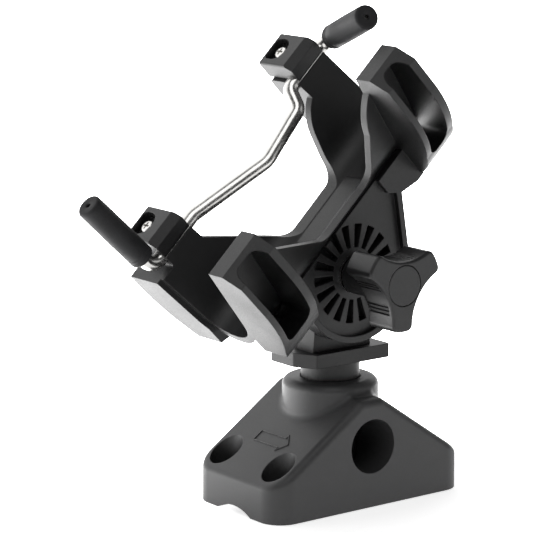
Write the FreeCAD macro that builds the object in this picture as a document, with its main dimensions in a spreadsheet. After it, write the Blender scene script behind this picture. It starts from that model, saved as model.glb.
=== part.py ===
"""Deck-mounted rod holder: a screw-down base, a swivelling post, a tilting cradle and a swing-over bail.

The frame has +Z up, with the origin at the centre of the base's bottom face. +X runs along the
base and -Y is the side of the clamp knob. The cradle's pieces are drawn level in a frame of their
own, whose origin is on the tilt axis, with X along the trough, and are then tilted about Y.
"""
import FreeCAD, Part
import math
import os
import Sketcher
from FreeCAD import Placement, Rotation, Vector

SIZES = {
    # base
    "base_length": 100.0,
    "base_width": 56.2,
    "base_corner": 10.0,
    "base_end_height": 14.8,
    "ridge_height": 45.0,
    "ridge_half": 5.5,
    "base_edge": 3.2,
    "base_wall": 3.4,
    "base_end_wall": 5.1,
    "base_roof": 4.8,
    "well_tube_wall": 2.5,
    "boss_radius": 20.0,
    "boss_height": 50.2,
    "boss_round": 3.4,
    "boss_foot": 3.0,
    "tube_wall": 3.6,
    "socket_floor": 7.0,
    "deck_spacing_x": 81.0,
    "deck_spacing_y": 35.2,
    "deck_hole_radius": 2.8,
    "screw_well_radius": 6.9,
    "screw_well_floor": 6.0,
    "side_socket_height": 25.6,
    "arch_width": 22.0,
    "arch_height": 3.0,
    # post
    "shaft_radius": 11.2,
    "socket_clearance": 0.1,
    "neck_radius": 12.25,
    "neck_recess": 2.2,
    "neck_clearance": 0.4,
    "seat_gap": 0.05,
    "ring_height": 14.0,
    "ring_section": 1.4,
    "ring_groove_depth": 2.2,
    "ring_grip": 0.05,
    "ring_round": 0.7,
    "flange_bottom": 57.2,
    "flange_thickness": 5.8,
    "flange_length": 43.4,
    "flange_width": 24.6,
    "flange_cut_x": 5.0,
    "flange_cut_y": 9.6,
    "flange_round": 0.8,
    "shaft_tip": 1.5,
    "shaft_stand": 1.5,
    "ear_half_width": 15.0,
    "ear_radius": 12.2,
    "ear_back": 5.0,
    # tilt pivot
    "pivot_height": 95.5,
    "rest_tilt": 44.0,
    "keel_face": 15.0,
    "keel_thickness": 6.0,
    "slip_disc_radius": 11.6,
    "slip_disc_thickness": 1.4,
    "face_gap": 0.05,
    "bolt_radius": 3.175,
    "bolt_fit": 0.05,
    "bolt_head_flat": 11.1,
    "bolt_head_thickness": 4.2,
    "bolt_end": 44.4,
    "bolt_tip": 0.6,
    "bolt_head_sink": 0.3,
    "washer_radius": 8.0,
    "washer_thickness": 1.2,
    "spring_washer_radius": 6.6,
    "spring_washer_thickness": 0.8,
    # knob
    "knob_face": 47.0,
    "knob_thickness": 15.0,
    "knob_radius": 19.0,
    "knob_lobe_half_angle": 16.0,
    "knob_flute_radius": 23.0,
    "knob_turn": -2.0,
    "knob_neck_radius": 8.0,
    "knob_edge": 1.1,
    "knob_lobe_round": 2.6,
    "grip_groove_start": 2.2,
    "grip_groove_radius": 0.55,
    "cap_radius": 8.3,
    "cap_thickness": 1.8,
    "cap_fit": 0.15,
    "cap_edge": 0.5,
    "nut_flat": 11.1,
    "nut_thickness": 5.6,
    # cradle trough
    "trough_half_top": 24.5,
    "pad_top": 63.4,
    "wall_lean": 16.0,
    "trough_radius": 14.8,
    "trough_wall": 3.6,
    "cradle_back": -50.0,
    "cradle_front": 69.2,
    "notch_floor_near": 21.0,
    "notch_floor_far": 18.0,
    "notch_back_side": -4.0,
    "notch_back_rise": 4.5,
    "notch_back_round": 9.8,
    "notch_floor_start": 4.0,
    "notch_floor_end": 27.0,
    "notch_front_side": 34.5,
    "notch_front_rise": 4.6,
    "notch_front_round": 9.1,
    "near_back_shoulder": 50.0,
    "near_step_side": 41.5,
    "near_step_height": 39.0,
    "near_front_shoulder": 55.0,
    "near_front_round": 26.0,
    "far_back_shoulder": 46.5,
    "far_step_side": 39.5,
    "far_step_height": 33.5,
    "far_front_shoulder": 45.0,
    "far_front_round": 22.0,
    "panel_start": -2.0,
    "panel_length": 36.0,
    "panel_corner": 2.5,
    "panel_half_width": 6.2,
    "panel_thickness": 0.9,
    # cradle pads and arms
    "pad_out": 40.0,
    "pad_strip": 8.8,
    "pad_chamfer": 6.0,
    "pad_heel": 12.9,
    "back_pad_length": 22.0,
    "front_pad_length": 18.6,
    "pad_wall": 2.8,
    "pad_rim": 3.8,
    "back_slot_floor": 18.0,
    "front_slot_floor": 13.8,
    "slot_corner": 4.5,
    "pad_straight": 41.0,
    "pad_curve_side": 9.6,
    "pad_curve_height": 15.8,
    "pad_curve_radius": 46.0,
    "pad_foot_side": 18.5,
    "pad_foot_height": 5.2,
    "pad_foot_radius": 24.0,
    "pad_bottom": 3.6,
    "slot_top": 1.9,
    "arm_slot_top": 11.0,
    "arm_edge": 1.2,
    "back_trim_low": 4.6,
    "back_trim_high": 12.6,
    "front_trim_low": 3.8,
    "front_trim_high": 10.6,
    "arm_top": 53.0,
    "arm_out": 41.0,
    "arm_overhang": 2.5,
    "arm_front_overhang": 0.8,
    "back_arm_end": -25.6,
    "front_arm_start": 51.0,
    # cradle keel
    "lobe_radius": 28.4,
    "lobe_front_angle": 24.0,
    "lobe_back_angle": 12.0,
    "keel_top": 19.2,
    "keel_front_top": 46.0,
    "keel_front_side": 38.5,
    "keel_front_height": 6.5,
    "keel_back": 40.0,
    "keel_back_height": 13.0,
    "web_start": 33.6,
    "web_start_height": 11.7,
    "web_heel_side": 47.5,
    "web_heel_height": 3.4,
    "rim_width": 2.6,
    "rim_height": 2.4,
    "ring_inner": 10.8,
    "ring_outer": 20.5,
    "ring_pockets": 18,
    "ring_pocket_angle": 11.0,
    "ring_pocket_depth": 4.0,
    # bail
    "wire_radius": 3.175,
    "wire_fit": 0.05,
    "wire_side": 25.0,
    "ledge_drop": 1.2,
    "bail_bend": 5.2,
    "elbow_gap": 0.4,
    "bow_back_reach": 5.0,
    "bow_back_length": 37.0,
    "bow_front_length": 9.6,
    "bow_front_reach": 4.4,
    "bow_front_share": 0.74,
    "bow_back_bend": 8.0,
    "bow_bend": 12.0,
    "bow_angle": 45.0,
    "bow_depth": 11.0,
    "grip_arm_length": 40.0,
    "upper_grip_angle": 23.4,
    "grip_lean": 3.0,
    "grip_radius": 5.25,
    "grip_length": 35.5,
    "grip_start": 6.7,
    "grip_hole": 1.0,
    "grip_edge": 0.8,
    # bail caps
    "cap_block_length": 17.0,
    "cap_block_height": 9.0,
    "cap_block_near": 21.8,
    "cap_block_far": 42.0,
    "cap_block_chamfer_y": 3.8,
    "cap_block_chamfer_z": 2.8,
    "cap_block_round": 1.0,
    "back_block_start": -42.7,
    "front_block_start": 52.4,
    "screw_side": 36.8,
    "screw_well": 5.6,
    "screw_well_depth": 3.8,
    "screw_well_corner": 2.4,
    "well_wall": 0.8,
    "screw_head_radius": 3.1,
    "screw_head_height": 2.2,
    "screw_head_round": 1.1,
    "screw_recess_depth": 1.3,
    "screw_recess_half": 0.42,
    "screw_recess_reach": 1.7,
    "screw_shank_radius": 1.75,
    "screw_length": 11.0,
    "insert_radius": 2.9,
    "insert_length": 7.6,
}

doc = FreeCAD.newDocument("rod_holder")
sheet = doc.addObject("Spreadsheet::Sheet", "dims")
for row, (name, value) in enumerate(SIZES.items(), 1):
    sheet.set(f"A{row}", name)
    sheet.set(f"B{row}", str(value))
    sheet.setAlias(f"B{row}", name)
doc.recompute()

parts = {}
cuts = []


def expression(text):
    """A formula in size names, with each name read from the sheet."""
    words = []
    word = ""
    for letter in str(text) + " ":
        if letter.isalnum() or letter in "_.":
            word += letter
            continue
        words.append("dims." + word if word in SIZES else word)
        words.append(letter)
        word = ""
    return "".join(words).strip()


def number(text):
    """The value of a formula in millimetres or degrees."""
    return float(sheet.evalExpression(expression(text)))


def bind(thing, field, text):
    """Tie a property to a formula."""
    thing.setExpression(field, expression(text))


# ---------------------------------------------------------------- sketches and features

def new_body(name, tilted=False, at=None):
    """An empty body; a tilted one is drawn in the cradle's frame."""
    body = doc.addObject("PartDesign::Body", name)
    body.Label = name
    parts[name] = body
    if tilted:
        seat_in_cradle(body)
    if at:
        for axis, text in zip("xyz", at):
            bind(body, f"Placement.Base.{axis}", text)
    return body


def seat_in_cradle(thing):
    """Put a piece that is drawn level into the tilted cradle's frame."""
    thing.Placement = Placement(Vector(0, 0, number("pivot_height")),
                                Rotation(Vector(0, -1, 0), number("rest_tilt")))
    bind(thing, "Placement.Base.z", "pivot_height")
    bind(thing, "Placement.Rotation.Angle", "rest_tilt")


def origin_feature(body, role):
    """One of a body's own origin planes or axes."""
    return next(item for item in body.Origin.OriginFeatures if item.Role == role)


def sketch_on(body, name, role, offset="0"):
    """A sketch on an origin plane, moved along the plane's normal."""
    sketch = body.newObject("Sketcher::SketchObject", name)
    sketch.AttachmentSupport = [(origin_feature(body, role), "")]
    sketch.MapMode = "FlatFace"
    bind(sketch, "AttachmentOffset.Base.z", offset)
    return sketch


def pin_point(sketch, item, end, x, y):
    """Fix one end of a sketch line or arc, or a circle's centre, at two formulas."""
    for kind, text in (("DistanceX", x), ("DistanceY", y)):
        place = sketch.addConstraint(Sketcher.Constraint(kind, item, end, number(text)))
        bind(sketch, f"Constraints[{place}]", text)


def draw_circle(sketch, x, y, radius):
    """A circle in a sketch."""
    centre = Vector(number(x), number(y), 0)
    item = sketch.addGeometry(Part.Circle(centre, Vector(0, 0, 1), number(radius)))
    pin_point(sketch, item, 3, x, y)
    place = sketch.addConstraint(Sketcher.Constraint("Radius", item, number(radius)))
    bind(sketch, f"Constraints[{place}]", radius)


def draw_outline(sketch, points):
    """A closed outline; each point is (x, y) or (x, y, radius, turn) for an arc that arrives there.

    The turn is 1 for an anticlockwise arc and -1 for a clockwise one, always under half a circle.
    """
    placed = [Vector(number(point[0]), number(point[1]), 0) for point in points]
    items = []
    for index, point in enumerate(points):
        start = placed[index - 1]
        finish = placed[index]
        if len(point) == 2:
            items.append((sketch.addGeometry(Part.LineSegment(start, finish)), 1, 2))
            continue
        radius = number(point[2])
        chord = finish - start
        rise = math.sqrt(radius ** 2 - (chord.Length / 2) ** 2)
        side = Vector(-chord.y, chord.x, 0).normalize() * rise * point[3]
        centre = (start + finish) * 0.5 + side
        first, last = (start, finish) if point[3] > 0 else (finish, start)
        angles = [math.atan2(end.y - centre.y, end.x - centre.x) for end in (first, last)]
        circle = Part.Circle(centre, Vector(0, 0, 1), radius)
        item = sketch.addGeometry(Part.ArcOfCircle(circle, angles[0], angles[1]))
        items.append((item, 1, 2) if point[3] > 0 else (item, 2, 1))
    for index, point in enumerate(points):
        item, _, finish = items[index]
        following, start, _ = items[(index + 1) % len(items)]
        sketch.addConstraint(Sketcher.Constraint("Coincident", item, finish, following, start))
        pin_point(sketch, item, finish, point[0], point[1])
        if len(point) == 4:
            place = sketch.addConstraint(Sketcher.Constraint("Radius", item, number(point[2])))
            bind(sketch, f"Constraints[{place}]", point[2])


def slab(body, name, role, low, high, draw, cut=False):
    """Add or cut a straight slab between two places along the axis square to the sketch plane."""
    offset = low if role != "XZ_Plane" else f"-({high})"
    sketch = sketch_on(body, name + "_sketch", role, offset)
    draw(sketch)
    feature = body.newObject("PartDesign::Pocket" if cut else "PartDesign::Pad", name)
    feature.Profile = sketch
    bind(feature, "Length", f"({high}) - ({low})")
    feature.Reversed = cut
    if cut:
        cuts.append(feature)
    return feature


def outline(*points):
    """A drawing of one closed outline, for slab."""
    return lambda sketch: draw_outline(sketch, points)


def circles(*rounds):
    """A drawing of circles, for slab."""
    def draw(sketch):
        for x, y, radius in rounds:
            draw_circle(sketch, x, y, radius)
    return draw


def rounded_box(x_low, x_high, y_low, y_high, radius):
    """A drawing of a rectangle with round corners, for slab."""
    r = f"({radius})"
    return outline(
        (f"{x_high} - {r}", y_low), (x_high, f"{y_low} + {r}", radius, 1), (x_high, f"{y_high} - {r}"),
        (f"{x_high} - {r}", y_high, radius, 1), (f"{x_low} + {r}", y_high),
        (x_low, f"{y_high} - {r}", radius, 1), (x_low, f"{y_low} + {r}"),
        (f"{x_low} + {r}", y_low, radius, 1))


def revolve(body, name, role, points, cut=False):
    """Turn an outline about the sketch's vertical axis."""
    sketch = sketch_on(body, name + "_sketch", role)
    draw_outline(sketch, points)
    feature = body.newObject("PartDesign::Groove" if cut else "PartDesign::Revolution", name)
    feature.Profile = sketch
    feature.ReferenceAxis = (sketch, ["V_Axis"])
    feature.Angle = 360
    if cut:
        cuts.append(feature)
    return feature


def dress(body, kind, name, size, chosen):
    """Round or bevel the edges of a body that the test picks."""
    doc.recompute()
    tip = body.Tip
    names = [f"Edge{i}" for i, edge in enumerate(tip.Shape.Edges, 1) if chosen(edge)]
    if not names:
        raise RuntimeError(f"{name}: no edges found")
    feature = body.newObject("PartDesign::" + kind, name)
    feature.Base = (tip, names)
    bind(feature, "Radius" if kind == "Fillet" else "Size", size)
    return feature


def polar_copies(body, feature, count):
    """Repeat a feature around the body's Y axis."""
    doc.recompute()
    pattern = body.newObject("PartDesign::PolarPattern", feature.Name + "_pattern")
    pattern.Originals = [feature]
    pattern.Axis = (origin_feature(body, "Y_Axis"), [""])
    pattern.Angle = 360
    bind(pattern, "Occurrences", count)
    body.Tip = pattern
    return pattern


def near(value, text, slack=0.01):
    """Whether a number is at a formula's value."""
    return abs(value - number(text)) < slack


# ---------------------------------------------------------------- base

def make_base():
    """The tent-shaped base: hollow below, with post sockets down and across and four screw wells."""
    half_length = "base_length / 2"
    half_width = "base_width / 2"
    shell = new_body("base_shell")
    slab(shell, "plan", "XY_Plane", "0", "ridge_height",
         rounded_box(f"-{half_length}", half_length, f"-{half_width}", half_width, "base_corner"))
    for side, sign in (("left", "-"), ("right", "")):
        slab(shell, side + "_slope", "XZ_Plane", f"-{half_width} - 1", f"{half_width} + 1",
             outline((f"{sign}ridge_half", "ridge_height"),
                     (f"{sign}ridge_half", "ridge_height + 1"),
                     (f"{sign}({half_length} + 1)", "ridge_height + 1"),
                     (f"{sign}({half_length} + 1)", "base_end_height"),
                     (f"{sign}({half_length})", "base_end_height")), cut=True)
    dress(shell, "Fillet", "tent_edges", "base_edge",
          lambda edge: edge.BoundBox.ZMin > number("base_end_height") - 0.01)
    slab(shell, "boss", "XY_Plane", "0", "boss_height", circles(("0", "0", "boss_radius")))
    dress(shell, "Fillet", "boss_rim", "boss_round",
          lambda edge: near(edge.BoundBox.ZMin, "boss_height") and near(edge.BoundBox.ZMax, "boss_height"))
    dress(shell, "Fillet", "boss_flare", "boss_foot", at_boss_foot)

    core = new_body("base_core")
    end = f"({half_length} - base_end_wall)"
    slab(core, "hollow", "XZ_Plane", f"-({half_width} - base_wall)", f"{half_width} - base_wall",
         outline((f"-{end}", "-1"), (end, "-1"), (end, "base_end_height - base_roof"),
                 ("ridge_half", "ridge_height - base_roof"), ("-ridge_half", "ridge_height - base_roof"),
                 (f"-{end}", "base_end_height - base_roof")))

    bore = "shaft_radius + socket_clearance"
    upright = cylinder("socket_tube", f"{bore} + tube_wall", "boss_height")
    across = cylinder("side_tube", f"{bore} + tube_wall", "base_width")
    lay_across(across, half_width, "side_socket_height")
    posts = [upright, across]
    for index, (x, y) in enumerate(deck_points()):
        well = cylinder(f"well_tube_{index}", "screw_well_radius + well_tube_wall", "ridge_height")
        bind(well, "Placement.Base.x", x)
        bind(well, "Placement.Base.y", y)
        posts.append(well)
    kept = fuse("tubes", posts)
    hollow = subtract("base_hollow", core, kept)
    solid = subtract("base_solid", shell, hollow)

    tools = [cylinder("socket_bore", bore, "boss_height", "socket_floor"),
             cylinder("neck_recess_bore", "neck_radius + neck_clearance", "boss_height",
                      "boss_height - neck_recess")]
    side = cylinder("side_bore", bore, "base_width + 2")
    lay_across(side, f"{half_width} + 1", "side_socket_height")
    tools.append(side)
    for index, (x, y) in enumerate(deck_points()):
        for kind, radius, floor in (("well", "screw_well_radius", "screw_well_floor"),
                                    ("hole", "deck_hole_radius", "-1")):
            tool = cylinder(f"deck_{kind}_{index}", radius, "ridge_height", floor)
            bind(tool, "Placement.Base.x", x)
            bind(tool, "Placement.Base.y", y)
            tools.append(tool)
    arch = cylinder("arch", "(arch_width ^ 2 / 4 + arch_height ^ 2) / (2 * arch_height)", "base_length + 2")
    arch.Placement = Placement(Vector(0, 0, 0), Rotation(Vector(0, 1, 0), 90))
    bind(arch, "Placement.Base.x", f"-({half_length} + 1)")
    bind(arch, "Placement.Base.z", "arch_height - (arch_width ^ 2 / 4 + arch_height ^ 2) / (2 * arch_height)")
    tools.append(arch)
    base = subtract("base", solid, fuse("base_bores", tools))
    parts["base"] = base
    del parts["base_shell"], parts["base_core"]


def at_boss_foot(edge):
    """Whether an edge is where the boss stands on the tent."""
    reach = [math.hypot(edge.valueAt(at).x, edge.valueAt(at).y)
             for at in (edge.FirstParameter, (edge.FirstParameter + edge.LastParameter) / 2)]
    below = edge.BoundBox.ZMax < number("ridge_height") + 0.01
    return below and all(near(far, "boss_radius", 0.02) for far in reach)


def deck_points():
    """The four deck screw places."""
    return [(f"{a}deck_spacing_x / 2", f"{b}deck_spacing_y / 2") for a in ("-", "") for b in ("-", "")]


def cylinder(name, radius, top, bottom="0"):
    """An upright cylinder between two heights."""
    item = doc.addObject("Part::Cylinder", name)
    bind(item, "Radius", radius)
    bind(item, "Height", f"({top}) - ({bottom})")
    bind(item, "Placement.Base.z", bottom)
    return item


def lay_across(item, start, height):
    """Turn a cylinder to lie along -Y, from +start at a height."""
    item.Placement = Placement(Vector(0, 0, 0), Rotation(Vector(1, 0, 0), 90))
    bind(item, "Placement.Base.y", start)
    bind(item, "Placement.Base.z", height)


def fuse(name, items):
    """One solid from several."""
    result = doc.addObject("Part::MultiFuse", name)
    result.Shapes = items
    return result


def subtract(name, base, tool):
    """A solid less another."""
    result = doc.addObject("Part::Cut", name)
    result.Label = name
    result.Base = base
    result.Tool = tool
    return result


# ---------------------------------------------------------------- post

EAR_FRONT = "(keel_face - keel_thickness - slip_disc_thickness - 2 * face_gap)"
FLANGE_TOP = "(flange_bottom + flange_thickness)"


def make_post():
    """The post: shaft with a groove for its ring, neck, flange and the ear that carries the pivot."""
    post = new_body("post")
    shaft_end = "(socket_floor + shaft_stand)"
    neck_end = "(boss_height - neck_recess + seat_gap)"
    groove_low = "(ring_height - ring_section)"
    groove_high = "(ring_height + ring_section)"
    core = "(shaft_radius - ring_groove_depth)"
    revolve(post, "shaft", "XZ_Plane",
            [("0", shaft_end), ("shaft_radius - shaft_tip", shaft_end),
             ("shaft_radius", f"{shaft_end} + shaft_tip"),
             ("shaft_radius", groove_low), (core, groove_low), (core, groove_high),
             ("shaft_radius", groove_high), ("shaft_radius", neck_end), ("neck_radius", neck_end),
             ("neck_radius", "flange_bottom + 1"), ("0", "flange_bottom + 1")])
    x = "(flange_length / 2)"
    y = "(flange_width / 2)"
    slab(post, "flange", "XY_Plane", "flange_bottom", FLANGE_TOP,
         outline((f"-{x} + flange_cut_x", f"-{y}"), (x, f"-{y}"), (x, f"{y} - flange_cut_y"),
                 (f"{x} - flange_cut_x", y), (f"-{x}", y), (f"-{x}", f"-{y} + flange_cut_y")))
    dress(post, "Fillet", "flange_corners", "flange_round", lambda edge: near(edge.Length, "flange_thickness")
          and near(edge.BoundBox.ZMin, "flange_bottom"))
    angle = "asin((ear_half_width - ear_radius) / (pivot_height - flange_bottom - flange_thickness))"
    side_x = f"(ear_radius * cos({angle}))"
    side_z = f"(pivot_height + ear_radius * sin({angle}))"
    slab(post, "ear", "XZ_Plane", f"-{EAR_FRONT}", "ear_back",
         outline(("-ear_half_width", f"{FLANGE_TOP} - 1"), ("ear_half_width", f"{FLANGE_TOP} - 1"),
                 ("ear_half_width", FLANGE_TOP), (side_x, side_z),
                 ("0", "pivot_height + ear_radius", "ear_radius", 1),
                 (f"-{side_x}", side_z, "ear_radius", 1), ("-ear_half_width", FLANGE_TOP)))
    slab(post, "bolt_hole", "XZ_Plane", f"-{EAR_FRONT} - 1", "ear_back + 1",
         circles(("0", "pivot_height", "bolt_radius + 0.1")), cut=True)
    slab(post, "head_recess", "XZ_Plane", "ear_back - bolt_head_thickness", "ear_back + 1",
         hexagon("bolt_head_flat / 2 + 0.15", "pivot_height"), cut=True)


def hexagon(flat_radius, height):
    """A drawing of a hexagon across flats, with its centre on the vertical axis."""
    corners = []
    for turn in range(6):
        reach = f"(({flat_radius}) / cos(30))"
        corners.append((f"{reach} * cos({60 * turn})", f"({height}) + {reach} * sin({60 * turn})"))
    return outline(*corners)


def make_post_ring():
    """The rubber ring in the shaft's groove, which grips the socket wall."""
    ring = new_body("post_ring")
    inner = "(shaft_radius - ring_groove_depth + ring_grip)"
    outer = "(shaft_radius + socket_clearance - ring_grip)"
    low = "(ring_height - ring_section + ring_grip)"
    high = "(ring_height + ring_section - ring_grip)"
    revolve(ring, "ring", "XZ_Plane",
            [(inner, f"{low} + ring_round"), (f"{inner} + ring_round", low),
             (f"{outer} - ring_round", low), (outer, f"{low} + ring_round", "ring_round", 1),
             (outer, f"{high} - ring_round"), (f"{outer} - ring_round", high, "ring_round", 1),
             (f"{inner} + ring_round", high), (inner, f"{high} - ring_round")])


def make_pivot_hardware():
    """The pieces on the tilt axis: bolt, slip disc, thrust washer and spring washer."""
    bolt = new_body("pivot_bolt", at=("0", "0", "pivot_height"))
    slab(bolt, "head", "XZ_Plane", "ear_back - bolt_head_thickness + face_gap", "ear_back - bolt_head_sink",
         hexagon("bolt_head_flat / 2", "0"))
    slab(bolt, "shank", "XZ_Plane", "-bolt_end", "ear_back - bolt_head_thickness + face_gap + 0.5",
         circles(("0", "0", "bolt_radius")))
    dress(bolt, "Chamfer", "tip", "bolt_tip", lambda edge: near(edge.BoundBox.YMax, "-bolt_end"))

    front = f"-({EAR_FRONT} + face_gap / 2)"
    disc = new_body("slip_disc", at=("0", "0", "pivot_height"))
    slab(disc, "disc", "XZ_Plane", f"{front} - slip_disc_thickness", front,
         circles(("0", "0", "slip_disc_radius"), ("0", "0", "bolt_radius + 0.1")))

    washer = new_body("thrust_washer", at=("0", "0", "pivot_height"))
    slab(washer, "washer", "XZ_Plane", "-(keel_face + face_gap + washer_thickness)",
         "-(keel_face + face_gap)",
         circles(("0", "0", "washer_radius"), ("0", "0", "bolt_radius + bolt_fit")))

    spring = new_body("spring_washer", at=("0", "0", "pivot_height"))
    slab(spring, "washer", "XZ_Plane",
         "-(keel_face + 2 * face_gap + washer_thickness + spring_washer_thickness)",
         "-(keel_face + 2 * face_gap + washer_thickness)",
         circles(("0", "0", "spring_washer_radius"), ("0", "0", "bolt_radius + bolt_fit")))


# ---------------------------------------------------------------- knob

def make_knob():
    """The three-lobed clamp knob, its cap and the nut that it drives."""
    knob = new_body("knob", at=("0", "0", "pivot_height"))
    back = "(knob_face - knob_thickness)"
    points = []
    lobe_angles = (30, 150, 270)
    for angle in lobe_angles:
        for sign, extra in (("-", ("knob_flute_radius", -1)), ("+", ("knob_radius", 1))):
            turn = f"({angle} + knob_turn {sign} knob_lobe_half_angle)"
            points.append((f"knob_radius * cos({turn})", f"knob_radius * sin({turn})") + extra)
    slab(knob, "lobes", "XZ_Plane", "-knob_face", f"-{back}", outline(*points))
    dress(knob, "Fillet", "lobe_corners", "knob_lobe_round", lambda edge: near(edge.Length, "knob_thickness"))
    dress(knob, "Fillet", "lobe_edges", "knob_edge",
          lambda edge: near(edge.BoundBox.YMin, "-knob_face") and near(edge.BoundBox.YMax, "-knob_face"))
    neck_end = "-(keel_face + washer_thickness + spring_washer_thickness + 3 * face_gap)"
    slab(knob, "neck", "XZ_Plane", f"-{back} - 1", neck_end, circles(("0", "0", "knob_neck_radius")))
    rounds = []
    reach = "(knob_radius * cos(60 - knob_lobe_half_angle)"
    reach += " + sqrt(knob_flute_radius ^ 2 - (knob_radius * sin(60 - knob_lobe_half_angle)) ^ 2))"
    for angle in lobe_angles:
        for step in (-18, -14, -10, 10, 14, 18):
            axis = f"({angle + 60} + knob_turn)"
            away = f"({angle + 60 + 180} + knob_turn + {step})"
            rounds.append((f"{reach} * cos({axis}) + knob_flute_radius * cos({away})",
                           f"{reach} * sin({axis}) + knob_flute_radius * sin({away})",
                           "grip_groove_radius"))
    slab(knob, "grip_grooves", "XZ_Plane", "-knob_face + grip_groove_start", f"-{back} + 1",
         circles(*rounds), cut=True)
    slab(knob, "bore", "XZ_Plane", "-knob_face - 1", "-keel_face",
         circles(("0", "0", "bolt_radius + bolt_fit * 2")), cut=True)
    slab(knob, "cap_recess", "XZ_Plane", "-knob_face - 1", "-knob_face + cap_thickness",
         circles(("0", "0", "cap_radius + cap_fit")), cut=True)
    nut_front = "(knob_face - cap_thickness)"
    slab(knob, "nut_pocket", "XZ_Plane", "-knob_face", f"-{nut_front} + nut_thickness",
         hexagon("nut_flat / 2 + face_gap", "0"), cut=True)

    cap = new_body("knob_cap", at=("0", "0", "pivot_height"))
    slab(cap, "cap", "XZ_Plane", "-knob_face", "-knob_face + cap_thickness - face_gap",
         circles(("0", "0", "cap_radius")))
    dress(cap, "Fillet", "cap_rim", "cap_edge", lambda edge: near(edge.BoundBox.YMax, "-knob_face"))

    nut = new_body("knob_nut", at=("0", "0", "pivot_height"))
    slab(nut, "nut", "XZ_Plane", f"-{nut_front} + face_gap", f"-{nut_front} + nut_thickness",
         hexagon("nut_flat / 2", "0"))
    slab(nut, "nut_bore", "XZ_Plane", f"-{nut_front} - 1", f"-{nut_front} + nut_thickness + 1",
         circles(("0", "0", "bolt_radius + bolt_fit")), cut=True)


# ---------------------------------------------------------------- cradle

TROUGH_CENTRE = ("(pad_top - (trough_half_top - trough_radius / cos(wall_lean)) / tan(wall_lean))")


def wall_side(height, depth="0"):
    """How far out the trough wall is at a height, at a depth into the wall."""
    return (f"(trough_half_top - (pad_top - ({height})) * tan(wall_lean)"
            f" + ({depth}) / cos(wall_lean))")


def tangent_point(depth):
    """Where the trough's round bottom meets its straight wall."""
    radius = f"(trough_radius + ({depth}))"
    return f"({radius} * cos(wall_lean))", f"({TROUGH_CENTRE} - {radius} * sin(wall_lean))"


def trough_section():
    """The U-shaped trough, with the near wall on -Y as high as the pads."""
    inner = tangent_point("0")
    outer = tangent_point("trough_wall")
    inner_bottom = f"{TROUGH_CENTRE} - trough_radius"
    outer_bottom = f"{TROUGH_CENTRE} - trough_radius - trough_wall"
    return outline(
        ("-" + wall_side("pad_top"), "pad_top"), ("-" + inner[0], inner[1]),
        ("0", inner_bottom, "trough_radius", 1), (inner[0], inner[1], "trough_radius", 1),
        (wall_side("arm_top"), "arm_top"), (wall_side("arm_top", "trough_wall"), "arm_top"),
        (outer[0], outer[1]), ("0", outer_bottom, "trough_radius + trough_wall", -1),
        ("-" + outer[0], outer[1], "trough_radius + trough_wall", -1),
        ("-" + wall_side("pad_top", "trough_wall"), "pad_top"))


def pad_section(side, top, outside, strip):
    """A pad's section behind the trough wall; side is '-' for the near pads and '' for the far arms."""
    middle = "trough_wall / 2"
    seam = tangent_point(middle)
    heel_top = f"{TROUGH_CENTRE} - sqrt((trough_radius + {middle}) ^ 2 - pad_heel ^ 2)"
    turn = 1 if side == "-" else -1
    return outline(
        (f"{side}{wall_side(top, middle)}", top), (f"{side}({outside} - {strip[0]})", top),
        (f"{side}({outside})", f"{top} - {strip[1]}"), (f"{side}({outside})", "pad_straight"),
        (f"{side}({outside} - pad_curve_side)", "pad_curve_height", "pad_curve_radius", turn),
        (f"{side}pad_foot_side", "pad_foot_height", "pad_foot_radius", turn),
        (f"{side}pad_heel", "pad_bottom"),
        (f"{side}pad_heel", heel_top),
        (f"{side}{seam[0]}", seam[1], f"trough_radius + {middle}", -turn))


def notch_outline(side, back, front):
    """The side view of the opening between a pair of pads, wide at the top; side is near or far."""
    floor = f"notch_floor_{side}"
    return outline(
        (back, "pad_top + 5"), (back, f"{side}_back_shoulder"),
        ("notch_back_side", f"{floor} + notch_back_rise"),
        ("notch_floor_start", floor, "notch_back_round", 1), ("notch_floor_end", floor),
        ("notch_front_side", f"{floor} + notch_front_rise", "notch_front_round", 1),
        (f"{side}_step_side", f"{side}_step_height"),
        (front, f"{side}_front_shoulder", f"{side}_front_round", -1), (front, "pad_top + 5"))


def keel_outline(inset, top):
    """The keel's side view: a round lobe about the pivot, widening up to the trough."""
    radius = f"(lobe_radius - {inset})"
    back = f"-(keel_back - {inset})"
    slant = f"1.2 * {inset}"
    return outline(
        (f"keel_front_top - {slant}", top), (back, top), (back, f"keel_back_height + {inset}"),
        (f"-{radius} * cos(lobe_back_angle)", f"{radius} * sin(lobe_back_angle)"),
        ("0", f"-{radius}", radius, 1),
        (f"{radius} * cos(lobe_front_angle)", f"-{radius} * sin(lobe_front_angle)", radius, 1),
        (f"keel_front_side - {slant}", "keel_front_height"))


def pad_slot(cradle, name, side, low, high, top, floor):
    """The deep slot in a pad's outer face; the trough wall that closes its back is added later."""
    span = ("-pad_out - 5", "-pad_heel") if side == "-" else ("pad_heel", "arm_out + 5")
    slab(cradle, name, "XZ_Plane", span[0], span[1],
         rounded_box(low, high, floor, top, "slot_corner"), cut=True)


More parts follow.
